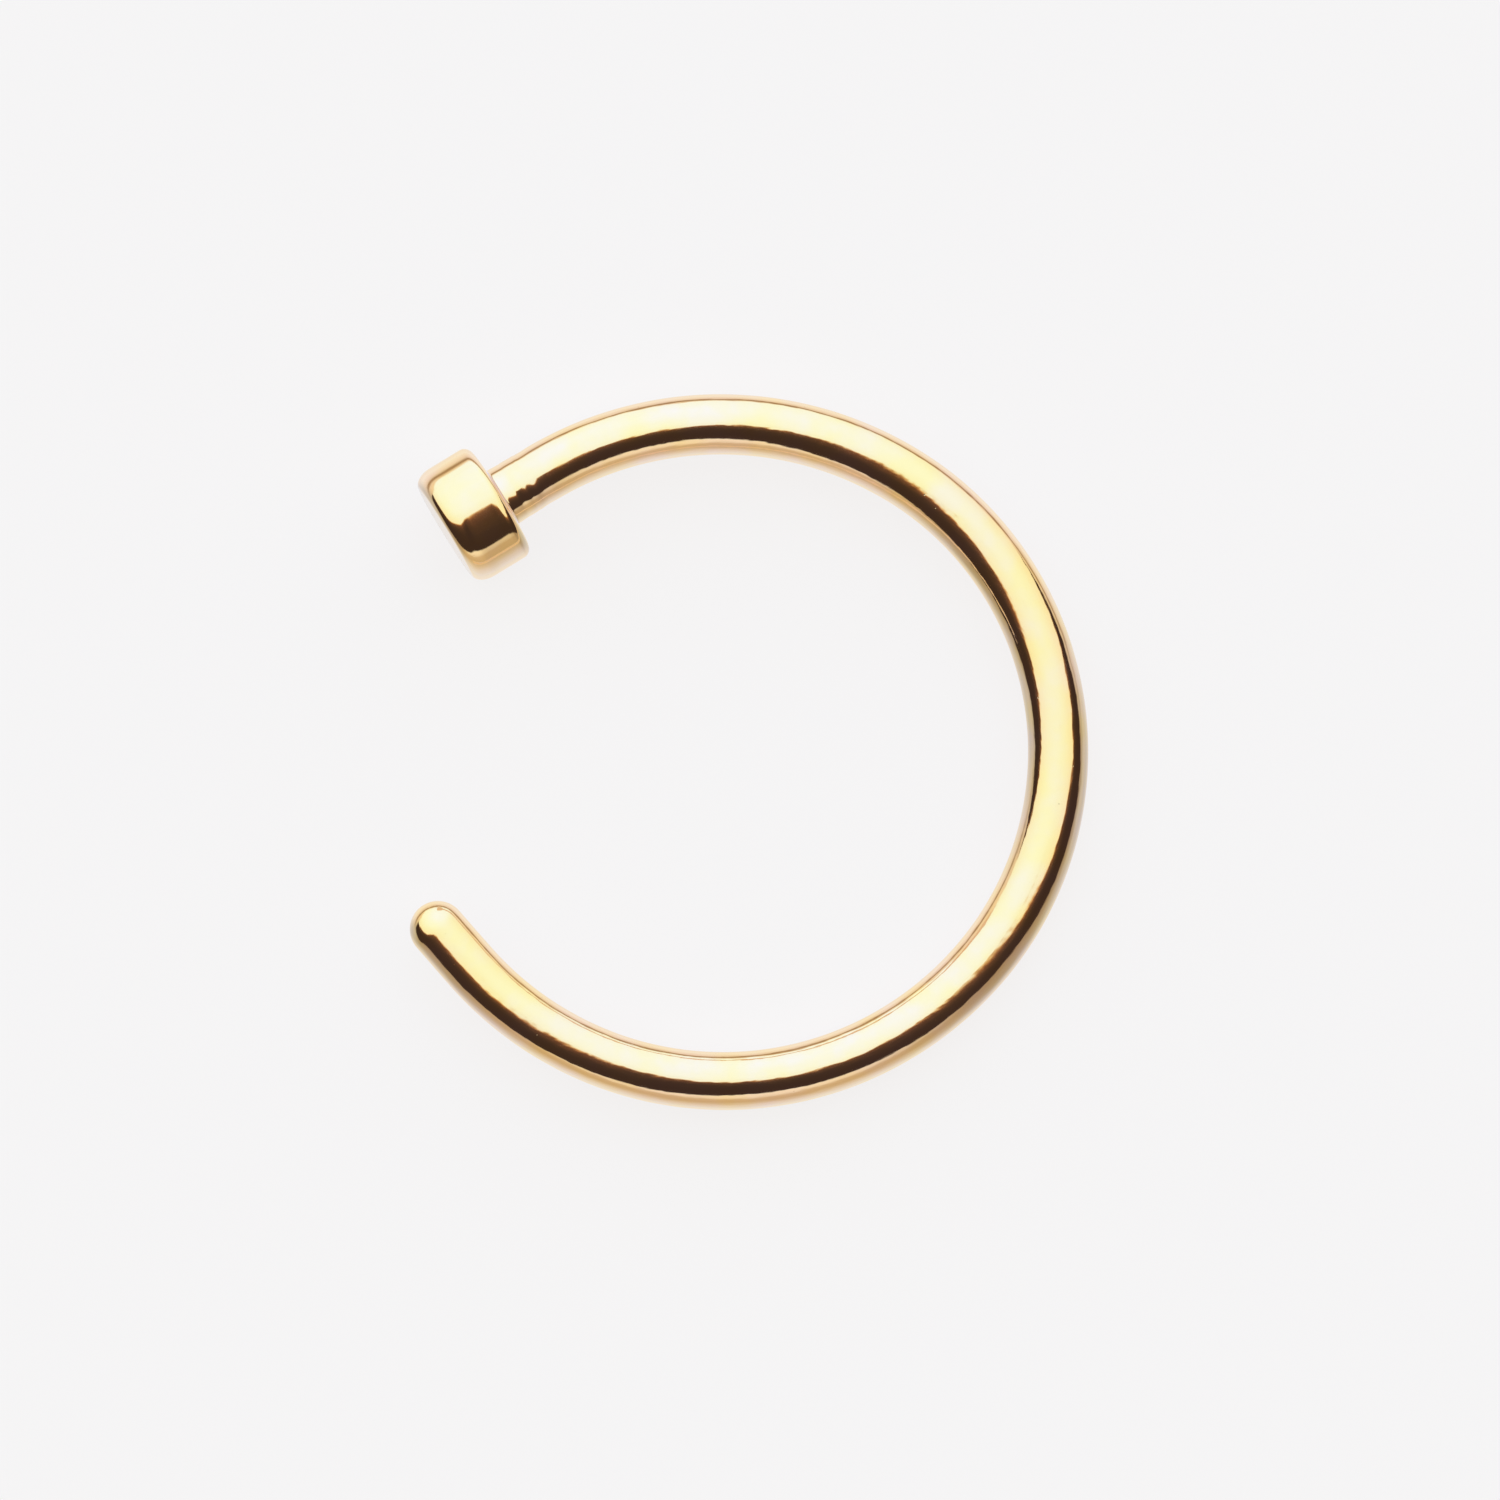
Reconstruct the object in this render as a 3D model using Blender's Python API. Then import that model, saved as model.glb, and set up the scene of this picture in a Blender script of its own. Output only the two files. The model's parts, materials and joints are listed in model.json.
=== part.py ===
"""Nose ring: an open hoop of round wire with a flat disc at one end and a rounded tip at the other.

The real one is a single piece of polished metal: a disc is soldered to a straight wire, the joint
is turned clean, the far end is rounded, and the headed wire is then bent round a mandrel. It is
made here in the same order: turn_blank makes the straight headed wire, bend_blank bends it flat in
the XY plane, and lay_down tips it onto the disc's rim and the far side of the wire, where it lies
by itself. +X is to the right and +Y is up as the ring is looked at from above, with the opening
facing -X and the disc at the upper end of it. The box's bottom centre is at the origin.
"""
import math

import bmesh
import bpy
import numpy as np
from mathutils import Matrix, Vector

MM = 0.001

# Wire, in millimetres: even for most of its length, and polished thinner towards the tip
WIRE_DIAMETER = 0.81
TIP_DIAMETER = 0.755
TIP_TAPER_LENGTH = 10.0
TIP_STRAIGHT = 0.65

# Bends from the disc round to the tip: radius of the wire's inner side, and turn in degrees
DISC_BEND_RADIUS = 4.295
DISC_BEND_TURN = 62.6
SIDE_BEND_RADIUS = 3.915
SIDE_BEND_TURN = 99.6
TIP_BEND_RADIUS = 4.115
TIP_BEND_TURN = 98.0

# Disc, in millimetres. Its edges are rounded further along the rim than they are inwards.
DISC_DIAMETER = 1.68
DISC_THICKNESS = 0.86
FACE_EDGE_LENGTH = 0.26
FACE_EDGE_DEPTH = 0.16
BACK_EDGE_LENGTH = 0.18
BACK_EDGE_DEPTH = 0.15
BACK_CONE_RISE = 0.025

# Collar that the solder leaves behind the disc, and the turned groove that ends it
COLLAR_STEP = 0.008
COLLAR_LENGTH = 0.42
COLLAR_FILLET = 0.03
GROOVE_DEPTH = 0.010
GROOVE_WIDTH = 0.18

# Straight stretch of wire behind the disc, before the first bend
DISC_STRAIGHT = 0.565

# Way the disc's axis points into the wire, in degrees above +X
DISC_AXIS_ANGLE = 31.2

# Fineness of the facets
SIDES = 32
EDGE_STEPS = 4
TIP_STEPS = 7
BEND_STEP = 3.0
MERGE_DISTANCE = 1e-8

# Search for the way the ring lies, in degrees
FIRST_TILT_STEP = 2.0
LAST_TILT_STEP = 1e-6
TILT_DIRECTIONS = 48

GOLD_COLOUR = (0.83, 0.62, 0.28, 1.0)
GOLD_ROUGHNESS = 0.12


def clear_scene():
    for old in list(bpy.data.objects):
        bpy.data.objects.remove(old, do_unlink=True)


def quarter_round(centre, radii, start, end, steps):
    """Points of a quarter ellipse about (along, out), from one angle to another in degrees."""
    angles = np.radians(np.linspace(start, end, steps + 1))
    return [(centre[0] + radii[0] * math.cos(a), centre[1] + radii[1] * math.sin(a)) for a in angles]


def disc_profile():
    """Half outline of the disc: flat face, rounded front edge, rim and rounded back edge."""
    out = DISC_DIAMETER / 2
    overhang = out - WIRE_DIAMETER / 2 - COLLAR_STEP - COLLAR_FILLET
    face = (min(FACE_EDGE_LENGTH, DISC_THICKNESS / 2), min(FACE_EDGE_DEPTH, out / 2))
    back = (min(BACK_EDGE_LENGTH, DISC_THICKNESS / 2), min(BACK_EDGE_DEPTH, overhang / 2))
    points = [(0.0, 0.0)]
    points += quarter_round((face[0], out - face[1]), face, 180, 90, EDGE_STEPS)
    points += quarter_round((DISC_THICKNESS - back[0], out - back[1]), back, 90, 0, EDGE_STEPS)
    return points


def collar_profile(start):
    """Half outline of the collar and its groove, from where the coned back of the disc meets it."""
    wire = WIRE_DIAMETER / 2
    out = wire + COLLAR_STEP
    points = quarter_round(
        (start + COLLAR_FILLET, out + COLLAR_FILLET), (COLLAR_FILLET, COLLAR_FILLET), 180, 270, 2
    )
    points.append((start + COLLAR_LENGTH, out))
    points.append((start + COLLAR_LENGTH + GROOVE_WIDTH / 2, wire - GROOVE_DEPTH))
    points.append((start + COLLAR_LENGTH + GROOVE_WIDTH, wire))
    return points


def bend_plan(first_straight):
    """The wire from the disc's face to its tip, as (length, radius of the middle, turn) legs."""
    legs = [(first_straight, None, 0.0)]
    for inner_radius, turn in (
        (DISC_BEND_RADIUS, DISC_BEND_TURN),
        (SIDE_BEND_RADIUS, SIDE_BEND_TURN),
        (TIP_BEND_RADIUS, TIP_BEND_TURN),
    ):
        middle = inner_radius + WIRE_DIAMETER / 2
        legs.append((middle * math.radians(turn), middle, turn))
    legs.append((TIP_STRAIGHT + TIP_DIAMETER / 2, None, 0.0))
    return legs


def wire_profile(start, plan):
    """Half outline of the wire from the groove to the tip, with stations close enough to bend at."""
    stations = []
    along = 0.0
    for length, radius, turn in plan[:-1]:
        steps = math.ceil(turn / BEND_STEP)
        stations += [along + length * k / steps for k in range(steps)]
        along += length
    stations.append(along)
    tip = TIP_DIAMETER / 2
    total = along + plan[-1][0]
    taper = min(TIP_TAPER_LENGTH, total - tip - start)
    points = []
    for station in stations:
        if station > start + GROOVE_WIDTH / 2:
            share = min((total - tip - station) / taper, 1.0)
            points.append((station, tip + (WIRE_DIAMETER / 2 - tip) * share))
    points += quarter_round((total - tip, 0.0), (tip, tip), 90, 0, TIP_STEPS)
    points[-1] = (total, 0.0)
    return points


def blank_profile():
    """Half outline of the whole headed wire, and the bends it is to get."""
    back = DISC_THICKNESS + BACK_CONE_RISE
    plan = bend_plan(back + DISC_STRAIGHT)
    collar = collar_profile(back)
    return disc_profile() + collar + wire_profile(collar[-1][0], plan), plan


def turn_blank(profile):
    """The straight headed wire, turned about X, with a row of corners straight below its axis."""
    shape = bmesh.new()
    corners = [shape.verts.new((along * MM, 0.0, -out * MM)) for along, out in profile]
    edges = [shape.edges.new(pair) for pair in zip(corners, corners[1:])]
    bmesh.ops.spin(
        shape,
        geom=corners + edges,
        cent=(0.0, 0.0, 0.0),
        axis=(1.0, 0.0, 0.0),
        angle=2 * math.pi,
        steps=SIDES,
        use_merge=True,
    )
    bmesh.ops.remove_doubles(shape, verts=shape.verts, dist=MERGE_DISTANCE)
    bmesh.ops.recalc_face_normals(shape, faces=shape.faces)
    return shape


def place_on_bend(along, plan):
    """Point on the bent wire's middle and its heading, for a length from the disc's face."""
    heading = math.radians(DISC_AXIS_ANGLE)
    point = Vector((0.0, 0.0))
    for number, (length, radius, turn) in enumerate(plan):
        here = along if number == len(plan) - 1 else min(along, length)
        if radius is None:
            point = point + here * Vector((math.cos(heading), math.sin(heading)))
        else:
            centre = point + radius * Vector((math.sin(heading), -math.cos(heading)))
            heading -= here / radius
            point = centre + radius * Vector((-math.sin(heading), math.cos(heading)))
        along -= here
        if along <= 0.0:
            break
    return point, heading


def bend_blank(shape, plan):
    """Carries every corner of the straight blank to its place on the bent wire."""
    for corner in shape.verts:
        point, heading = place_on_bend(corner.co.x / MM, plan)
        side = corner.co.y
        corner.co = Vector((
            point.x * MM - side * math.sin(heading),
            point.y * MM + side * math.cos(heading),
            corner.co.z,
        ))


def centre_of_mass(shape):
    """Centre of the solid's volume, from the tetrahedra that its triangles make with the origin."""
    corners = np.array([
        [loop.vert.co[:] for loop in triangle] for triangle in shape.calc_loop_triangles()
    ])
    volumes = np.einsum("ij,ij->i", corners[:, 0], np.cross(corners[:, 1], corners[:, 2])) / 6
    return (corners.sum(axis=1) / 4 * volumes[:, None]).sum(axis=0) / volumes.sum()


def height_when_tipped(tilt, points, centre):
    """How far the centre of mass is above the lowest corner, tipped about X and then about Y."""
    turn = Matrix.Rotation(math.radians(tilt[1]), 3, "Y") @ Matrix.Rotation(math.radians(tilt[0]), 3, "X")
    down = np.array(turn[2])
    return (centre @ down) - (points @ down).min()


def resting_tilt(points, centre):
    """Tips the ring, a little at a time, to where its centre of mass is lowest."""
    tilt = np.zeros(2)
    lowest = height_when_tipped(tilt, points, centre)
    step = FIRST_TILT_STEP
    while step > LAST_TILT_STEP:
        angles = np.arange(TILT_DIRECTIONS) * 2 * math.pi / TILT_DIRECTIONS
        tries = [tilt + step * np.array((math.cos(a), math.sin(a))) for a in angles]
        heights = [height_when_tipped(trial, points, centre) for trial in tries]
        best = int(np.argmin(heights))
        if heights[best] < lowest:
            tilt, lowest = tries[best], heights[best]
        else:
            step /= 2
    return tilt


def lay_down(shape):
    """Lets the ring lie on the disc's rim and the wire, then centres it over the origin."""
    points = np.array([corner.co[:] for corner in shape.verts])
    tilt = resting_tilt(points, centre_of_mass(shape))
    turn = Matrix.Rotation(math.radians(tilt[1]), 3, "Y") @ Matrix.Rotation(math.radians(tilt[0]), 3, "X")
    bmesh.ops.rotate(shape, verts=shape.verts, cent=(0.0, 0.0, 0.0), matrix=turn)
    points = np.array([corner.co[:] for corner in shape.verts])
    low, high = points.min(axis=0), points.max(axis=0)
    move = (-(low[0] + high[0]) / 2, -(low[1] + high[1]) / 2, -low[2])
    bmesh.ops.translate(shape, verts=shape.verts, vec=move)


def polished_gold():
    gold = bpy.data.materials.new("polished gold plate")
    gold.use_nodes = True
    shader = gold.node_tree.nodes["Principled BSDF"]
    shader.inputs["Base Color"].default_value = GOLD_COLOUR
    shader.inputs["Metallic"].default_value = 1.0
    shader.inputs["Roughness"].default_value = GOLD_ROUGHNESS
    return gold


def nose_ring():
    profile, plan = blank_profile()
    shape = turn_blank(profile)
    bend_blank(shape, plan)
    lay_down(shape)
    mesh = bpy.data.meshes.new("nose_ring")
    shape.to_mesh(mesh)
    shape.free()
    mesh.shade_smooth()
    mesh.materials.append(polished_gold())
    ring = bpy.data.objects.new("nose_ring", mesh)
    bpy.context.collection.objects.link(ring)
    return ring


def main():
    clear_scene()
    nose_ring()


main()
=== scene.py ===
"""Looks of the nose ring: a mirror-polished gold hoop lying on a pale sheet under soft studio light."""
import json
import math

import bpy
import numpy as np
from mathutils import Matrix, Vector


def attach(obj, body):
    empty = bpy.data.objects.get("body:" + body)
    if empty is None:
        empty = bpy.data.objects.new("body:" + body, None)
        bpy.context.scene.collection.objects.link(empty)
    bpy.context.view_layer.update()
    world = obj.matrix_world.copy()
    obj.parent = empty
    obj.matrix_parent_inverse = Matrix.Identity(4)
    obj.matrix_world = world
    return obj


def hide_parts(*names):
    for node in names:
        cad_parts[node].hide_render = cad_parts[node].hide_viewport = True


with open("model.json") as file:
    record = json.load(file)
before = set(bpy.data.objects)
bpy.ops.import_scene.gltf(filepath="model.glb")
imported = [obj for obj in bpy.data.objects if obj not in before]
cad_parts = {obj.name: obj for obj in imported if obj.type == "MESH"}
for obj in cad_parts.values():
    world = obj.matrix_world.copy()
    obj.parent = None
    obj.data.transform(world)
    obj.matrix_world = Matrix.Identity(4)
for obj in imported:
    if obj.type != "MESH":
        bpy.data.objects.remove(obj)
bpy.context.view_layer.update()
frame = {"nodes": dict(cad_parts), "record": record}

MM = 0.001

# Wire: its full width, and the width it is polished down to over the last stretch before the tip
WIRE_RADIUS = 0.405 * MM
TIP_RADIUS = 0.3775 * MM
TIP_TAPER_LENGTH = 10.0 * MM
TIP_STRAIGHT = 0.65 * MM

# Bends from the disc round to the tip: radius of the wire's inner side, and turn in degrees
BENDS = ((4.295 * MM, 62.6), (3.915 * MM, 99.6), (4.115 * MM, 98.0))
FIRST_STRAIGHT = 1.45 * MM

# Disc, and how far its rounded edges reach along the rim and inwards
DISC_RADIUS = 0.84 * MM
DISC_THICKNESS = 0.86 * MM
FACE_EDGE = (0.26 * MM, 0.16 * MM)
BACK_EDGE = (0.13 * MM, 0.14 * MM)
BACK_CONE_RISE = 0.025 * MM

# Turned neck behind the disc: how far along each mark lies from the disc's face, and its radius
COLLAR_RADIUS = WIRE_RADIUS + 0.008 * MM
COLLAR_FILLET = 0.03 * MM
NECK_MARKS = (
    (0.94 * MM, COLLAR_RADIUS),
    (1.04 * MM, WIRE_RADIUS + 0.003 * MM),
    (1.07 * MM, WIRE_RADIUS + 0.001 * MM),
    (1.10 * MM, WIRE_RADIUS + 0.004 * MM),
    (1.19 * MM, WIRE_RADIUS + 0.004 * MM),
    (1.23 * MM, WIRE_RADIUS + 0.001 * MM),
    (1.27 * MM, WIRE_RADIUS + 0.004 * MM),
    (1.32 * MM, WIRE_RADIUS - 0.002 * MM),
    (1.40 * MM, WIRE_RADIUS - 0.004 * MM),
    (1.50 * MM, WIRE_RADIUS),
)

# Shallow flat that polishing has left across the disc's rim: its start and end from the face, its
# turn from the top of the rim in degrees, how far its soft edge reaches, and how deep it is
RIM_FLAT_START = 0.1 * MM
RIM_FLAT_END = 0.84 * MM
RIM_FLAT_TURN = 12.0
RIM_FLAT_RADIUS = 0.36 * MM
RIM_FLAT_DEPTH = 0.018 * MM

# Waves that polishing leaves in the metal: from crest to crest, and from crest to trough
WAVE_LENGTH = 0.55 * MM
WAVE_DEPTH = 0.003 * MM

# Fineness of the mesh, and the rings on the disc's face as shares of its flat part
SIDES = 96
ARC_STEPS = 8
FACE_RINGS = (0.35, 0.7, 0.92)
RIM_CUTS = 7
STATION_SPACING = 0.05 * MM
CUTS_AT_ONCE = 9
PATH_ARC = 33.0
PATH_RESOLUTION = 64

# Camera: width of what it sees, sensor and lens in millimetres, lean towards the side that the
# disc's face looks to and roll in degrees, what it looks at, and how far it sees in metres
VIEW_WIDTH = 20.03 * MM
SENSOR_WIDTH = 36.0
LENS = 400.0
CAMERA_LEAN = 2.3
CAMERA_ROLL = -0.25
VIEW_CENTRE = Vector((0.0155, 0.03, 0.5)) * MM
SIGHT = (0.001, 10.0)

# Floor: size of the sheet in metres, its own colour and finish, the light that comes up through it,
# and the wall beyond it, which is as pale
FLOOR_SIZE = 2.0
SHEET_COLOUR = (0.167, 0.118, 0.089, 1.0)
SHEET_ROUGHNESS = 0.9
SHEET_GLOW = 0.8
WALL = (0.913, 0.913, 0.913)

# Gold plate, as it looks head-on in white light: as plated, and where the wheel has thinned it. A
# patch's spread is the part of the noise over which it goes from none to full.
GOLD_COLOUR = "#FBD28C"
THIN_GOLD_COLOUR = "#F8D0A0"
THINNING_SIZE = 0.6 * MM
THINNING_SPREAD = (0.35, 0.65)
PATCH_DETAIL = 3.0

# Polishing lines and ripples: how far apart, how many times longer than wide, how deep, and how fine
HOOP_MIDDLE = Vector((-0.307, 0.0, 0.0)) * MM
LINE_SPACING = 0.12 * MM
LINE_STRETCH = 3.0
LINE_DEPTH = 0.003 * MM
LINE_DETAIL = 2.0
LINE_ROUGHNESS = 0.55

# The lines are fainter on the disc: its middle, how far from there they start to grow and are full
# again, and the share of their depth that the disc has
DISC_MIDDLE = Vector((-3.68, 3.17, 0.85)) * MM
DISC_REACH = (1.0 * MM, 1.7 * MM)
DISC_LINE_SHARE = 0.3

# Haze that the wheel leaves in patches, and small pits where the plating didn't take
HAZE_SIZE = 0.4 * MM
HAZE_SPREAD = (0.3, 0.7)
CLEAR_ROUGHNESS = 0.05
HAZY_ROUGHNESS = 0.09
PIT_SPACING = 0.2 * MM
PIT_RADIUS = 0.013 * MM
PIT_DEPTH = 0.0012 * MM
PITTED_SHARE = 0.7

# Studio. Angles are in degrees: from the camera's line of sight, and round it from the near side,
# positive to the right. The flat map has a ray's angle as distance and its heading as direction.
# Light that has met the gold twice comes from all over the studio, and is evened out.
STUDIO_STRENGTH = 3.0
EDGE_SOFTNESS = 2.5
MAP_HALF = 120.0
SECOND_LIGHT = (0.85, 1.15, 2.4)

# Lower edge of the softbox on the flat map: how far across, and how far up
SOFTBOX_LOWER_EDGE = (
    (-120, 118), (-100, 72), (-88, 38), (-80, 14), (-74, 4), (-67, -5), (-60, -12), (-53, -17.5),
    (-46, -21.5), (-31, -22), (-20, -21.5), (-11, -20), (-6, -18.5), (-2, -15.5), (2, -11.5), (5, -8),
    (8, -4.8), (9.5, -3.8), (11, -4.6), (13, -6), (16, -8), (21, -10.6), (27, -12), (35, -13.3), (40, -12),
    (45, -9.5), (51, -6), (56, -2), (60, 3), (65, 10), (73, 21), (78, 32), (88, 75), (120, 118),
)

# Light of the softbox, by distance on the flat map from its middle: red, green and blue
SOFTBOX_MIDDLE = (-10.0, 60.0, 0.0)
SOFTBOX_REACH = 100.0
SOFTBOX_LIGHT = ((10, 1.03, 1.5, 2.6), (50, 1.03, 1.47, 2.1), (68, 1.02, 1.38, 1.7), (88, 1.02, 1.22, 1.32))

# Light of the unlit room, by how far below the softbox's edge: its glow spills a little way down
ROOM_REACH = 30.0
ROOM_LIGHT = (
    (2, 0.18, 0.1, 0.075), (5, 0.12, 0.072, 0.064), (9, 0.08, 0.054, 0.052), (15, 0.058, 0.042, 0.046),
    (22, 0.053, 0.038, 0.043), (30, 0.05, 0.036, 0.042),
)

# Where what is low down begins, as (turn, angle from the camera)
LOW_LIGHT_EDGE = (
    (-180, 101), (-150, 100), (-135, 95), (-120, 90), (-105, 96), (-92, 101), (-75, 100), (-62, 98.5),
    (-52, 94), (-45, 87), (-30, 76.5), (-18, 70), (-8, 66.5), (0, 62), (7, 58.5), (14, 58), (22, 59.5),
    (32, 61.5), (40, 67), (48, 71), (55, 75), (62, 83), (72, 91), (82, 94), (95, 95), (108, 97),
    (120, 98), (135, 101), (150, 104), (180, 101),
)

# Light from low down, by angle from the camera: where it comes from the near side, from between the
# near side and the flanks, from the flanks, and from the far side
NEAR_LIGHT = (
    (60, 0.98, 1.1, 1.3), (68, 0.98, 1.05, 1.2), (74, 0.86, 0.9, 1.0), (79, 0.7, 0.65, 0.62),
    (91, 0.64, 0.59, 0.53), (98, 0.67, 0.64, 0.63), (105, 0.73, 0.75, 0.86), (119, 0.83, 0.94, 1.3),
    (136, 0.88, 1.06, 1.5), (150, 0.93, 1.06, 1.2), (165, 0.94, 0.95, 0.95),
)
CORNER_LIGHT = (
    (80, 0.4, 0.36, 0.36), (90, 0.42, 0.4, 0.42), (105, 0.45, 0.45, 0.48), (114, 0.48, 0.51, 0.62),
    (126, 0.6, 0.69, 0.96), (136, 0.74, 0.86, 1.15), (150, 0.85, 0.93, 1.08), (165, 0.9, 0.91, 0.92),
)
FLANK_LIGHT = (
    (90, 0.3, 0.28, 0.3), (98, 0.42, 0.42, 0.48), (105, 0.53, 0.6, 0.76), (112, 0.64, 0.74, 1.0),
    (126, 0.62, 0.73, 1.04), (136, 0.61, 0.73, 1.06), (146, 0.69, 0.81, 1.06), (164, 0.8, 0.83, 0.9),
)
FAR_LIGHT = (
    (97, 0.95, 0.97, 1.0), (103, 0.9, 0.92, 1.0), (107, 0.45, 0.37, 0.31), (111, 0.42, 0.34, 0.3),
    (115, 0.8, 0.84, 0.98), (120, 0.93, 0.99, 1.28), (128, 0.97, 1.1, 1.4), (138, 1.0, 1.17, 1.48),
    (150, 0.97, 1.06, 1.18), (165, 0.94, 0.95, 0.95),
)

# How far up each of them is on the heading's circle
LOW_HEADINGS = (-0.95, -0.62, -0.1, 0.6)

# The softbox's edge comes through as a warm brown fringe: share of its light seen, and each colour's
FRINGE = ((0.0, (0, 0, 0)), (0.35, (0.3, 0.1, 0.03)), (0.7, (0.8, 0.5, 0.25)), (1.0, (1, 1, 1)))


def linear(hex_colour):
    """Turns an sRGB hex colour into linear RGBA."""
    values = [int(hex_colour[i:i + 2], 16) / 255 for i in (1, 3, 5)]
    return [v / 12.92 if v <= 0.04045 else ((v + 0.055) / 1.055) ** 2.4 for v in values] + [1.0]


def clear_selection():
    bpy.ops.object.select_all(action="DESELECT")


def quarter_round(centre, radii, start, end):
    """Stations (along, radius) of a rounded edge, from one angle to another in degrees."""
    angles = np.radians(np.linspace(start, end, ARC_STEPS + 1))
    return [(centre[0] + radii[0] * math.cos(a), centre[1] + radii[1] * math.sin(a)) for a in angles]


def disc_stations():
    """Rings of the disc: face, rounded front edge, rim and rounded back edge."""
    front = DISC_RADIUS - FACE_EDGE[1]
    stations = [(0.0, front * share) for share in FACE_RINGS]
    stations += quarter_round((FACE_EDGE[0], front), FACE_EDGE, 180, 90)
    rim_start, rim_end = FACE_EDGE[0], DISC_THICKNESS - BACK_EDGE[0]
    stations += [(along, DISC_RADIUS) for along in np.linspace(rim_start, rim_end, RIM_CUTS + 2)[1:-1]]
    stations += quarter_round((rim_end, DISC_RADIUS - BACK_EDGE[1]), BACK_EDGE, 90, 0)
    return stations


def neck_stations():
    """Rings of the fillet at the disc's back, of the turned marks, and of the start of the wire."""
    start = DISC_THICKNESS + BACK_CONE_RISE
    centre = (start + COLLAR_FILLET, COLLAR_RADIUS + COLLAR_FILLET)
    return quarter_round(centre, (COLLAR_FILLET, COLLAR_FILLET), 180, 270) + list(NECK_MARKS)


def wire_length():
    bends = sum((inner + WIRE_RADIUS) * math.radians(turn) for inner, turn in BENDS)
    return FIRST_STRAIGHT + bends + TIP_STRAIGHT + TIP_RADIUS


def extrude_ring(old, new):
    """Extrudes the selected ring along X, and scales the new one to its radius."""
    bpy.ops.mesh.extrude_region_move(TRANSFORM_OT_translate={"value": (new[0] - old[0], 0.0, 0.0)})
    scale = new[1] / old[1]
    bpy.ops.transform.resize(value=(1.0, scale, scale), center_override=(new[0], 0.0, 0.0))


def select_long_edges(blank, start, end):
    """In edit mode, selects the edges that run along the wire between two stations."""
    bpy.ops.mesh.select_all(action="DESELECT")
    bpy.ops.object.mode_set(mode="OBJECT")
    slack = STATION_SPACING / 10
    corners = blank.data.vertices
    for edge in blank.data.edges:
        near, far = sorted(corners[number].co.x for number in edge.vertices)
        edge.select = near > start - slack and far < end + slack and far - near > slack
    bpy.ops.object.mode_set(mode="EDIT")


def divide_stretch(blank, start, end):
    """Cuts a long stretch of wire into rings, in two rounds because one round makes few cuts."""
    pieces = CUTS_AT_ONCE + 1
    select_long_edges(blank, start, end)
    bpy.ops.mesh.subdivide(number_cuts=CUTS_AT_ONCE)
    select_long_edges(blank, start, end)
    bpy.ops.mesh.subdivide(number_cuts=math.ceil((end - start) / STATION_SPACING / pieces) - 1)


def turn_blank():
    """The straight headed wire, grown ring by ring from the disc's face to the tip."""
    clear_selection()
    stations = disc_stations()
    bpy.ops.mesh.primitive_circle_add(
        vertices=SIDES, radius=stations[0][1], fill_type="TRIFAN", rotation=(0.0, math.pi / 2, 0.0)
    )
    blank = bpy.context.active_object
    blank.name = blank.data.name = "gold_hoop"
    bpy.ops.object.transform_apply(location=False, rotation=True, scale=False)
    total = wire_length()
    taper_end = (total - TIP_RADIUS, TIP_RADIUS)
    taper_start = (taper_end[0] - TIP_TAPER_LENGTH, WIRE_RADIUS)
    stations += neck_stations()
    wire_start = stations[-1]
    stations += [taper_start, taper_end]
    angles = np.radians(np.linspace(90, 0, 2 * ARC_STEPS + 1))[1:-1]
    stations += [(taper_end[0] + TIP_RADIUS * math.cos(a), TIP_RADIUS * math.sin(a)) for a in angles]
    bpy.ops.object.mode_set(mode="EDIT")
    bpy.ops.mesh.select_mode(type="EDGE")
    bpy.ops.mesh.select_all(action="SELECT")
    bpy.ops.mesh.region_to_loop()
    for old, new in zip(stations, stations[1:]):
        extrude_ring(old, new)
    bpy.ops.mesh.extrude_region_move(
        TRANSFORM_OT_translate={"value": (total - stations[-1][0], 0.0, 0.0)}
    )
    bpy.ops.mesh.merge(type="CENTER")
    divide_stretch(blank, wire_start[0], taper_start[0])
    divide_stretch(blank, taper_start[0], taper_end[0])
    bpy.ops.object.mode_set(mode="OBJECT")
    return blank


def flatten_rim(blank):
    """Presses the disc's rim in a little along a line across it, with a wide soft edge."""
    make_active(blank)
    bpy.ops.object.mode_set(mode="EDIT")
    bpy.ops.mesh.select_mode(type="VERT")
    bpy.ops.mesh.select_all(action="DESELECT")
    bpy.ops.object.mode_set(mode="OBJECT")
    for corner in blank.data.vertices:
        turn = math.degrees(math.atan2(-corner.co.y, corner.co.z))
        across = RIM_FLAT_START < corner.co.x < RIM_FLAT_END
        corner.select = across and abs(turn - RIM_FLAT_TURN) < 180 / SIDES
    bpy.ops.object.mode_set(mode="EDIT")
    turn = math.radians(RIM_FLAT_TURN)
    inward = (0.0, RIM_FLAT_DEPTH * math.sin(turn), -RIM_FLAT_DEPTH * math.cos(turn))
    bpy.ops.transform.translate(
        value=inward, use_proportional_edit=True, use_proportional_connected=True,
        proportional_edit_falloff="SMOOTH", proportional_size=RIM_FLAT_RADIUS,
    )
    bpy.ops.object.mode_set(mode="OBJECT")


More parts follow.
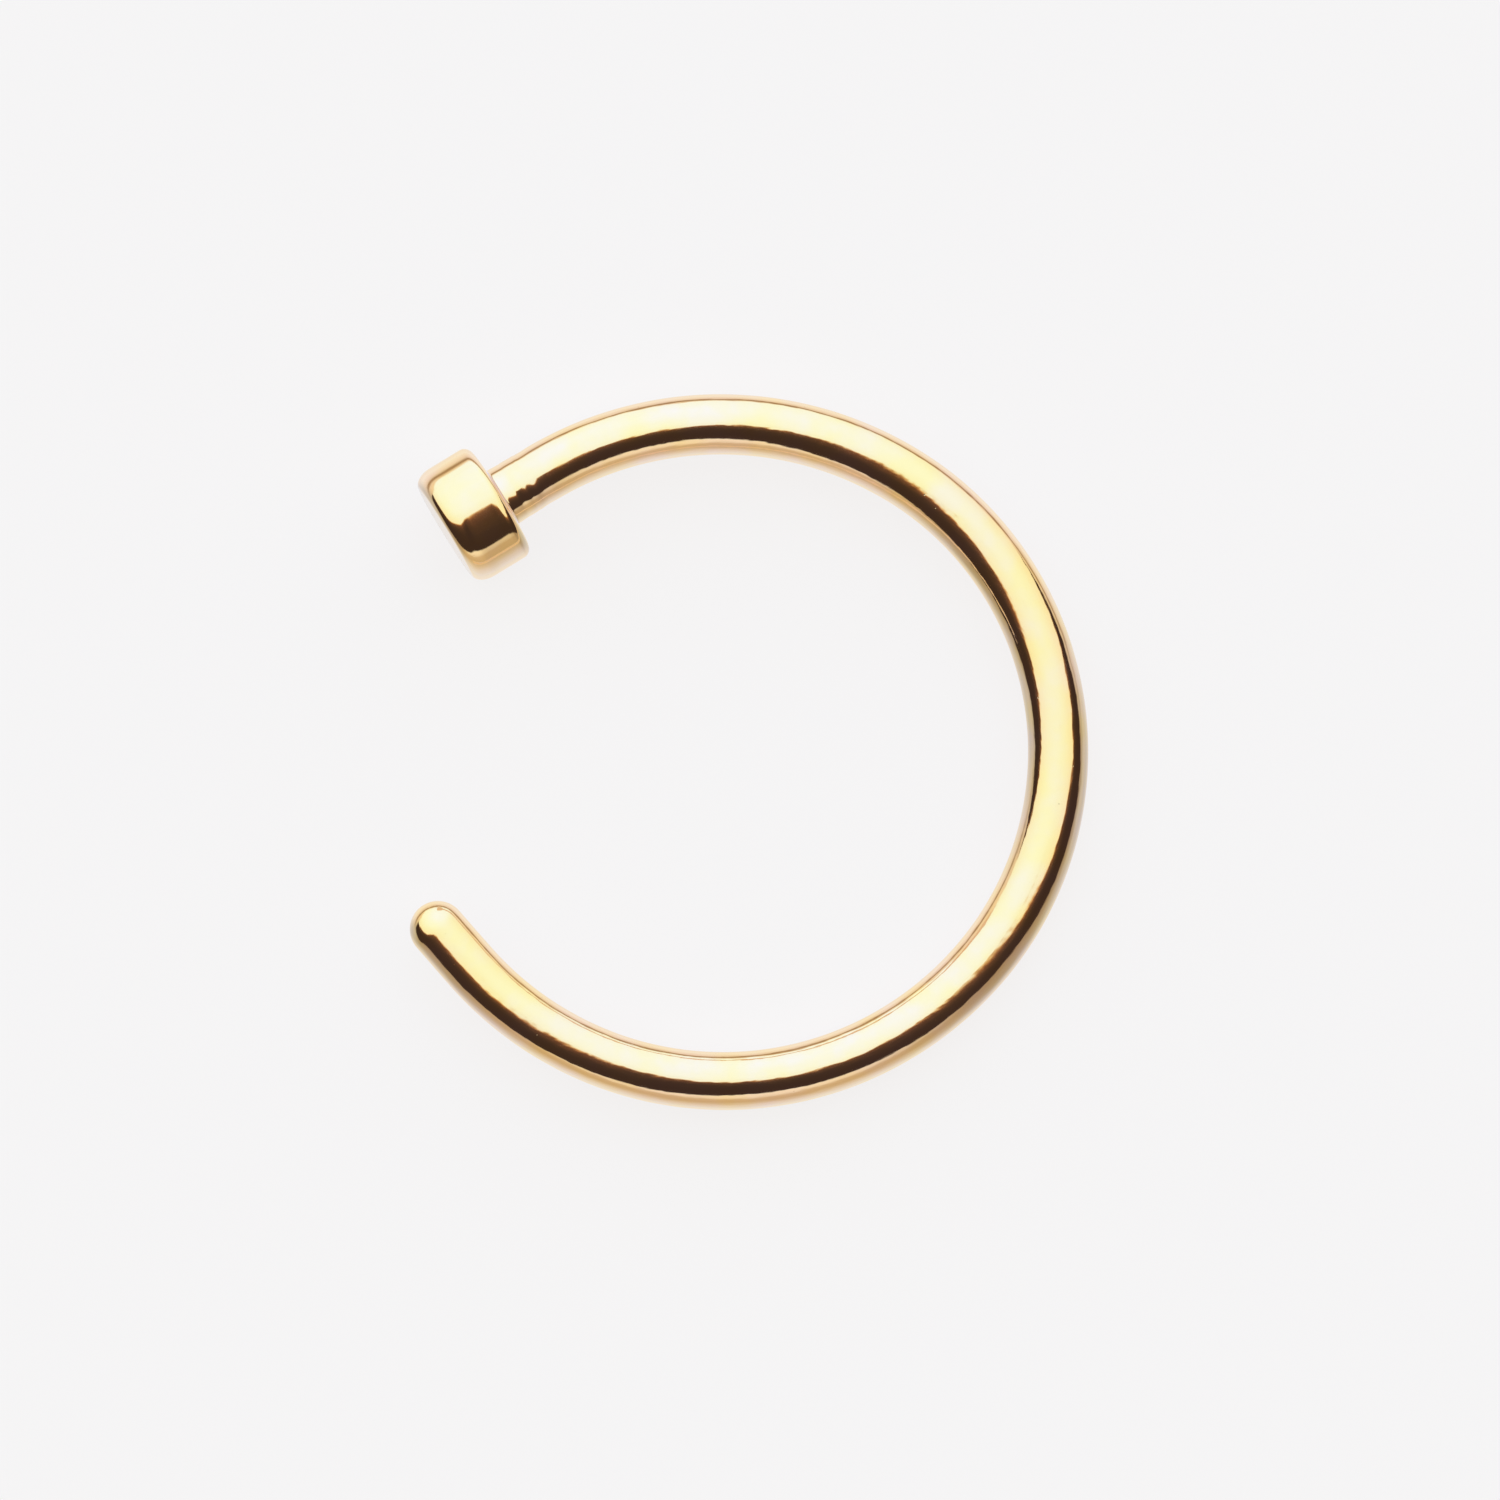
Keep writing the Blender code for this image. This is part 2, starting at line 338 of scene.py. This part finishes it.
def path_knots():
    """Knots of the bending path, from the disc's face: place, heading, and handles before and after."""
    point, heading = Vector((0.0, 0.0, 0.0)), 0.0
    knots = [[point, heading, 0.0, FIRST_STRAIGHT / 3]]
    point = point + Vector((FIRST_STRAIGHT, 0.0, 0.0))
    knots.append([point, heading, FIRST_STRAIGHT / 3, 0.0])
    for inner, turn in BENDS:
        radius = inner + WIRE_RADIUS
        parts = math.ceil(turn / PATH_ARC)
        step = math.radians(turn / parts)
        handle = radius * math.tan(step / 4) * 4 / 3
        for _ in range(parts):
            knots[-1][3] = handle
            centre = point + radius * Vector((math.sin(heading), -math.cos(heading), 0.0))
            heading -= step
            point = centre + radius * Vector((-math.sin(heading), math.cos(heading), 0.0))
            knots.append([point, heading, handle, 0.0])
    last = TIP_STRAIGHT + TIP_RADIUS
    knots[-1][3] = last / 3
    point = point + last * Vector((math.cos(heading), math.sin(heading), 0.0))
    knots.append([point, heading, last / 3, 0.0])
    return knots


def bending_path():
    """The line that the wire is bent along, as a flat curve in the XY plane."""
    clear_selection()
    bpy.ops.curve.primitive_bezier_curve_add()
    path = bpy.context.active_object
    path.data.resolution_u = PATH_RESOLUTION
    spline = path.data.splines[0]
    knots = path_knots()
    spline.bezier_points.add(len(knots) - len(spline.bezier_points))
    for knot, (point, heading, before, after) in zip(spline.bezier_points, knots):
        along = Vector((math.cos(heading), math.sin(heading), 0.0))
        knot.handle_left_type = knot.handle_right_type = "FREE"
        knot.co = point
        knot.handle_left = point - before * along
        knot.handle_right = point + after * along
    return path


def make_active(piece):
    clear_selection()
    piece.select_set(True)
    bpy.context.view_layer.objects.active = piece


def bend_blank(blank):
    """Bends the straight wire along the path, applies the bend and takes the path away."""
    path = bending_path()
    make_active(blank)
    bend = blank.modifiers.new("bend", "CURVE")
    bend.object = path
    bpy.ops.object.modifier_apply(modifier=bend.name)
    bpy.data.objects.remove(path)


def resting_place():
    """The hoop's place in the frame: disc's face at the origin, wire leaving along X, bent in XY."""
    mount = frame["record"]["mounts"][0]
    along = -Vector(mount["axis"]).normalized()
    corners = np.array([corner.co for corner in frame["nodes"]["nose_ring"].data.vertices], float)
    corners = np.unique(corners.round(9), axis=0)
    normal = Vector(np.linalg.svd(corners - corners.mean(axis=0), full_matrices=False)[2][2])
    if normal.z < 0:
        normal.negate()
    side = normal.cross(along).normalized()
    normal = along.cross(side)
    turn = Matrix((along, side, normal)).transposed()
    return Matrix.Translation(mount["pos_m"]) @ turn.to_4x4()


def lay_down(blank):
    """Lays the bent hoop where the frame has it, with its place in its mesh."""
    blank.matrix_world = resting_place()
    make_active(blank)
    bpy.ops.object.transform_apply(location=True, rotation=True, scale=True)
    bpy.ops.object.mode_set(mode="EDIT")
    bpy.ops.mesh.select_all(action="SELECT")
    bpy.ops.mesh.normals_make_consistent(inside=False)
    bpy.ops.object.mode_set(mode="OBJECT")
    bpy.ops.object.shade_smooth()


def polish(blank):
    """Leaves the shallow waves of polishing in the metal."""
    waves = bpy.data.textures.new("polishing waves", "CLOUDS")
    waves.noise_scale = WAVE_LENGTH
    make_active(blank)
    swell = blank.modifiers.new("polishing waves", "DISPLACE")
    swell.texture = waves
    swell.texture_coords = "LOCAL"
    swell.mid_level = 1.0
    swell.strength = WAVE_DEPTH
    bpy.ops.object.modifier_apply(modifier=swell.name)


def add_node(tree, kind, inputs=None, stops=None, curve=None, **settings):
    """Adds a node with its settings, ramp stops or curve points, and sets or links its inputs."""
    added = tree.nodes.new(kind)
    for name, value in settings.items():
        setattr(added, name, value)
    if stops:
        elements = added.color_ramp.elements
        elements[0].position, elements[-1].position = stops[0][0], stops[-1][0]
        for place, _ in stops[1:-1]:
            elements.new(place)
        for element, (_, colour) in zip(elements, stops):
            element.color = (*colour, 1.0)
    if curve:
        points = added.mapping.curves[0].points
        points[0].location, points[-1].location = curve[0], curve[-1]
        for place in curve[1:-1]:
            points.new(*place)
        added.mapping.update()
    for name, value in (inputs or {}).items():
        if isinstance(value, bpy.types.NodeSocket):
            tree.links.new(value, added.inputs[name])
        else:
            added.inputs[name].default_value = value
    return added


def wire_coordinates(tree):
    """Socket for places on the hoop: along the wire, out from the hoop's middle, and up."""
    place = add_node(tree, "ShaderNodeTexCoord").outputs["Object"]
    centred = add_node(tree, "ShaderNodeVectorMath", {0: place, 1: HOOP_MIDDLE}, operation="SUBTRACT")
    x, y, z = add_node(tree, "ShaderNodeSeparateXYZ", {0: centred.outputs[0]}).outputs
    level = add_node(
        tree, "ShaderNodeVectorMath", {0: centred.outputs[0], 1: (1, 1, 0)}, operation="MULTIPLY"
    )
    out = add_node(tree, "ShaderNodeVectorMath", {0: level.outputs[0]}, operation="LENGTH").outputs["Value"]
    turn = add_node(tree, "ShaderNodeMath", {0: y, 1: x}, operation="ARCTAN2").outputs[0]
    radius = BENDS[1][0] + WIRE_RADIUS
    along = add_node(tree, "ShaderNodeMath", {0: turn, 1: radius}, operation="MULTIPLY").outputs[0]
    return add_node(tree, "ShaderNodeCombineXYZ", {0: along, 1: out, 2: z}).outputs[0]


def polishing_lines(tree, place):
    """Normal with the fine lines and ripples of the buffing wheel, drawn out along the wire, and
    fainter on the disc, which was lapped."""
    drawn = add_node(
        tree, "ShaderNodeVectorMath", {0: place, 1: (1 / LINE_STRETCH, 1.0, 1.0)}, operation="MULTIPLY"
    )
    lines = add_node(
        tree, "ShaderNodeTexNoise",
        {
            "Vector": drawn.outputs[0], "Scale": 1 / LINE_SPACING,
            "Detail": LINE_DETAIL, "Roughness": LINE_ROUGHNESS,
        },
    )
    spot = add_node(tree, "ShaderNodeTexCoord").outputs["Object"]
    away = add_node(tree, "ShaderNodeVectorMath", {0: spot, 1: DISC_MIDDLE}, operation="DISTANCE")
    strength = add_node(
        tree, "ShaderNodeMapRange",
        {0: away.outputs["Value"], 1: DISC_REACH[0], 2: DISC_REACH[1], 3: DISC_LINE_SHARE, 4: 1.0},
    )
    return add_node(
        tree, "ShaderNodeBump",
        {"Height": lines.outputs[0], "Distance": LINE_DEPTH, "Strength": strength.outputs[0]},
    ).outputs[0]


def pitted(tree, place, normal):
    """Normal with small round pits, in some cells of a loose pattern."""
    cells = {"Vector": place, "Scale": 1 / PIT_SPACING}
    middle = add_node(tree, "ShaderNodeTexVoronoi", cells)
    chance = add_node(tree, "ShaderNodeSeparateXYZ", {0: middle.outputs["Color"]}).outputs[0]
    reach = PIT_RADIUS / PIT_SPACING
    bowl = add_node(
        tree, "ShaderNodeMapRange", {0: middle.outputs["Distance"], 1: 0.0, 2: reach, 3: -1.0, 4: 0.0},
        interpolation_type="SMOOTHSTEP",
    )
    chosen = add_node(tree, "ShaderNodeMath", {0: chance, 1: PITTED_SHARE}, operation="LESS_THAN")
    depth = add_node(
        tree, "ShaderNodeMath", {0: bowl.outputs[0], 1: chosen.outputs[0]}, operation="MULTIPLY"
    )
    return add_node(
        tree, "ShaderNodeBump", {"Height": depth.outputs[0], "Distance": PIT_DEPTH, "Normal": normal}
    ).outputs[0]


def polished_gold():
    """Gold plate buffed by hand on a soft wheel: a mirror, but its reflections have wavy edges, a little
    haze in patches, a few bright pinholes, and a slightly paler tone where the wheel thinned the gold."""
    gold = bpy.data.materials.new("mirror-polished gold plate")
    gold.use_nodes = True
    tree = gold.node_tree
    place = wire_coordinates(tree)
    patches = add_node(
        tree, "ShaderNodeTexNoise", {"Vector": place, "Scale": 1 / THINNING_SIZE, "Detail": PATCH_DETAIL}
    )
    thinned = add_node(
        tree, "ShaderNodeMapRange", {0: patches.outputs[0], 1: THINNING_SPREAD[0], 2: THINNING_SPREAD[1]}
    )
    colour = add_node(
        tree, "ShaderNodeMix",
        {0: thinned.outputs[0], 6: linear(GOLD_COLOUR), 7: linear(THIN_GOLD_COLOUR)}, data_type="RGBA",
    )
    haze = add_node(
        tree, "ShaderNodeTexNoise", {"Vector": place, "Scale": 1 / HAZE_SIZE, "Detail": PATCH_DETAIL}
    )
    roughness = add_node(
        tree, "ShaderNodeMapRange",
        {0: haze.outputs[0], 1: HAZE_SPREAD[0], 2: HAZE_SPREAD[1], 3: CLEAR_ROUGHNESS, 4: HAZY_ROUGHNESS},
    )
    shader = tree.nodes["Principled BSDF"]
    shader.inputs["Metallic"].default_value = 1.0
    tree.links.new(colour.outputs[2], shader.inputs["Base Color"])
    tree.links.new(roughness.outputs[0], shader.inputs["Roughness"])
    tree.links.new(pitted(tree, place, polishing_lines(tree, place)), shader.inputs["Normal"])
    return gold


def between(value, low, high):
    """A value's share of the way from low to high, for a curve or ramp."""
    return (value - low) / (high - low)


def tinted(light):
    """Coloured light as a share of the studio's strength."""
    return [value / STUDIO_STRENGTH for value in light]


def tinted_stops(table, full):
    """Ramp stops of coloured light, from rows of (place, red, green, blue)."""
    return [(row[0] / full, tinted(row[1:])) for row in table]


def studio_directions(tree, camera):
    """Sockets for where a ray goes: angle from the camera, turn round it, and flat map of the two."""
    turn = camera.matrix_world.to_3x3().inverted().to_euler()
    ray = add_node(tree, "ShaderNodeTexCoord").outputs["Generated"]
    seen = add_node(tree, "ShaderNodeMapping", {"Vector": ray, "Rotation": turn}, vector_type="VECTOR")
    axes = add_node(tree, "ShaderNodeSeparateXYZ", {0: seen.outputs[0]}).outputs
    upright = add_node(tree, "ShaderNodeMath", {0: axes["Z"]}, operation="ARCCOSINE")
    angle = add_node(tree, "ShaderNodeMath", {0: upright.outputs[0], 1: math.pi}, operation="DIVIDE")
    nearward = add_node(tree, "ShaderNodeMath", {0: axes["Y"], 1: -1.0}, operation="MULTIPLY")
    bearing = add_node(
        tree, "ShaderNodeMath", {0: axes["X"], 1: nearward.outputs[0]}, operation="ARCTAN2"
    )
    turned = add_node(
        tree, "ShaderNodeMath", {0: bearing.outputs[0], 1: 0.5 / math.pi, 2: 0.5}, operation="MULTIPLY_ADD"
    )
    level = add_node(
        tree, "ShaderNodeVectorMath", {0: seen.outputs[0], 1: (1, 1, 0)}, operation="MULTIPLY"
    )
    heading = add_node(tree, "ShaderNodeVectorMath", {0: level.outputs[0]}, operation="NORMALIZE")
    degrees = add_node(tree, "ShaderNodeMath", {0: angle.outputs[0], 1: 180.0}, operation="MULTIPLY")
    flat = add_node(
        tree, "ShaderNodeVectorMath",
        {0: heading.outputs[0], "Scale": degrees.outputs[0]}, operation="SCALE",
    )
    return angle.outputs[0], turned.outputs[0], heading.outputs[0], flat.outputs[0]


def below_softbox(tree, flat):
    """How far a ray passes below the softbox's lower edge, in degrees on the flat map."""
    across, up, _ = add_node(tree, "ShaderNodeSeparateXYZ", {0: flat}).outputs
    place = add_node(tree, "ShaderNodeMapRange", {0: across, 1: -MAP_HALF, 2: MAP_HALF})
    outline = [
        (between(x, -MAP_HALF, MAP_HALF), between(y, -MAP_HALF, MAP_HALF)) for x, y in SOFTBOX_LOWER_EDGE
    ]
    edge = add_node(tree, "ShaderNodeFloatCurve", {"Value": place.outputs[0]}, curve=outline)
    edge_up = add_node(
        tree, "ShaderNodeMapRange", {0: edge.outputs[0], 3: -MAP_HALF, 4: MAP_HALF}, clamp=False
    )
    return add_node(tree, "ShaderNodeMath", {0: edge_up.outputs[0], 1: up}, operation="SUBTRACT").outputs[0]


def low_share(tree, angle, turned):
    """How much a ray sees of what is low down: the sheet, and the pale card on the near side."""
    outline = [(between(turn, -180, 180), angle_there / 180) for turn, angle_there in LOW_LIGHT_EDGE]
    edge = add_node(tree, "ShaderNodeFloatCurve", {"Value": turned}, curve=outline)
    below = add_node(tree, "ShaderNodeMath", {0: angle, 1: edge.outputs[0]}, operation="SUBTRACT")
    soft = EDGE_SOFTNESS / 180
    return add_node(
        tree, "ShaderNodeMapRange", {0: below.outputs[0], 1: -soft, 2: soft},
        interpolation_type="SMOOTHSTEP",
    ).outputs[0]


def low_light(tree, angle, heading):
    """Light from low down: it changes round the hoop, from the near side to the far side."""
    _, up, _ = add_node(tree, "ShaderNodeSeparateXYZ", {0: heading}).outputs
    light = None
    before = None
    for here, table in zip(LOW_HEADINGS, (NEAR_LIGHT, CORNER_LIGHT, FLANK_LIGHT, FAR_LIGHT)):
        ramp = add_node(tree, "ShaderNodeValToRGB", {0: angle}, stops=tinted_stops(table, 180)).outputs[0]
        if light:
            share = add_node(
                tree, "ShaderNodeMapRange", {0: up, 1: before, 2: here}, interpolation_type="SMOOTHSTEP"
            )
            ramp = add_node(
                tree, "ShaderNodeMix", {0: share.outputs[0], 6: light, 7: ramp}, data_type="RGBA"
            ).outputs[2]
        light, before = ramp, here
    return light


def light_above(tree, flat):
    """Light of a large softbox, and of the unlit room below its edge."""
    away = add_node(tree, "ShaderNodeVectorMath", {0: flat, 1: SOFTBOX_MIDDLE}, operation="DISTANCE")
    spread = add_node(
        tree, "ShaderNodeMath", {0: away.outputs["Value"], 1: SOFTBOX_REACH}, operation="DIVIDE"
    )
    softbox = add_node(
        tree, "ShaderNodeValToRGB", {0: spread.outputs[0]}, stops=tinted_stops(SOFTBOX_LIGHT, SOFTBOX_REACH)
    )
    below = below_softbox(tree, flat)
    down = add_node(tree, "ShaderNodeMath", {0: below, 1: ROOM_REACH}, operation="DIVIDE")
    room = add_node(
        tree, "ShaderNodeValToRGB", {0: down.outputs[0]}, stops=tinted_stops(ROOM_LIGHT, ROOM_REACH)
    )
    share = add_node(
        tree, "ShaderNodeMapRange", {0: below, 1: EDGE_SOFTNESS, 2: -EDGE_SOFTNESS},
        interpolation_type="SMOOTHSTEP",
    )
    fringe = add_node(tree, "ShaderNodeValToRGB", {0: share.outputs[0]}, stops=FRINGE)
    return add_node(
        tree, "ShaderNodeMix", {1: fringe.outputs[0], 4: room.outputs[0], 5: softbox.outputs[0]},
        data_type="VECTOR", factor_mode="NON_UNIFORM",
    ).outputs[1]


def light_by_path(tree, first):
    """The studio's light where the gold mirrors it once, then the evened light, and the plain wall
    where the camera sees past the sheet."""
    path = add_node(tree, "ShaderNodeLightPath")
    again = add_node(tree, "ShaderNodeMapRange", {0: path.outputs["Ray Depth"], 1: 2.0, 2: 3.0})
    evened = add_node(
        tree, "ShaderNodeMix", {0: again.outputs[0], 6: first, 7: tinted(SECOND_LIGHT) + [1.0]},
        data_type="RGBA",
    )
    return add_node(
        tree, "ShaderNodeMix",
        {0: path.outputs["Is Camera Ray"], 6: evened.outputs[2], 7: tinted(WALL) + [1.0]},
        data_type="RGBA",
    ).outputs[2]


def studio_light(camera):
    """Soft studio as a sphere of light: what is above, what is low down, and the edge between them."""
    world = bpy.data.worlds.new("studio")
    bpy.context.scene.world = world
    world.use_nodes = True
    tree = world.node_tree
    angle, turned, heading, flat = studio_directions(tree, camera)
    whole = add_node(
        tree, "ShaderNodeMix",
        {0: low_share(tree, angle, turned), 6: light_above(tree, flat), 7: low_light(tree, angle, heading)},
        data_type="RGBA",
    )
    background = tree.nodes["Background"]
    background.inputs["Strength"].default_value = STUDIO_STRENGTH
    tree.links.new(light_by_path(tree, whole.outputs[2]), background.inputs["Color"])


def lay_floor():
    """Plain pale sheet, lit a little from below as on a light table, so that shadows stay faint."""
    bpy.ops.mesh.primitive_plane_add(size=FLOOR_SIZE)
    floor = bpy.context.active_object
    floor.name = "floor"
    sheet = bpy.data.materials.new("pale sheet")
    sheet.use_nodes = True
    shader = sheet.node_tree.nodes["Principled BSDF"]
    shader.inputs["Base Color"].default_value = SHEET_COLOUR
    shader.inputs["Roughness"].default_value = SHEET_ROUGHNESS
    shader.inputs["Specular IOR Level"].default_value = 0.0
    shader.inputs["Emission Color"].default_value = (1.0, 1.0, 1.0, 1.0)
    shader.inputs["Emission Strength"].default_value = SHEET_GLOW
    floor.data.materials.append(sheet)
    floor.visible_glossy = False


def set_camera():
    """A long lens over the ring, leaning a little so that the edge of the disc's face is seen."""
    lean = math.radians(CAMERA_LEAN)
    out = Vector(frame["record"]["mounts"][0]["axis"]).to_2d().normalized()
    back = Vector((out.x * math.sin(lean), out.y * math.sin(lean), math.cos(lean)))
    data = bpy.data.cameras.new("camera")
    data.lens = LENS
    data.sensor_width = SENSOR_WIDTH
    data.clip_start, data.clip_end = SIGHT
    camera = bpy.data.objects.new("camera", data)
    bpy.context.scene.collection.objects.link(camera)
    right = Vector((math.cos(math.radians(CAMERA_ROLL)), math.sin(math.radians(CAMERA_ROLL)), 0.0))
    right = (right - right.dot(back) * back).normalized()
    turn = Matrix((right, back.cross(right), back)).transposed()
    distance = VIEW_WIDTH * LENS / SENSOR_WIDTH
    camera.matrix_world = Matrix.Translation(VIEW_CENTRE + back * distance) @ turn.to_4x4()
    bpy.context.view_layer.update()
    bpy.context.scene.camera = camera
    return camera


hoop = turn_blank()
flatten_rim(hoop)
bend_blank(hoop)
lay_down(hoop)
polish(hoop)
hoop.data.materials.append(polished_gold())
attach(hoop, "root")
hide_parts("nose_ring")

lay_floor()
studio_light(set_camera())
bpy.context.scene.view_settings.view_transform = "Standard"
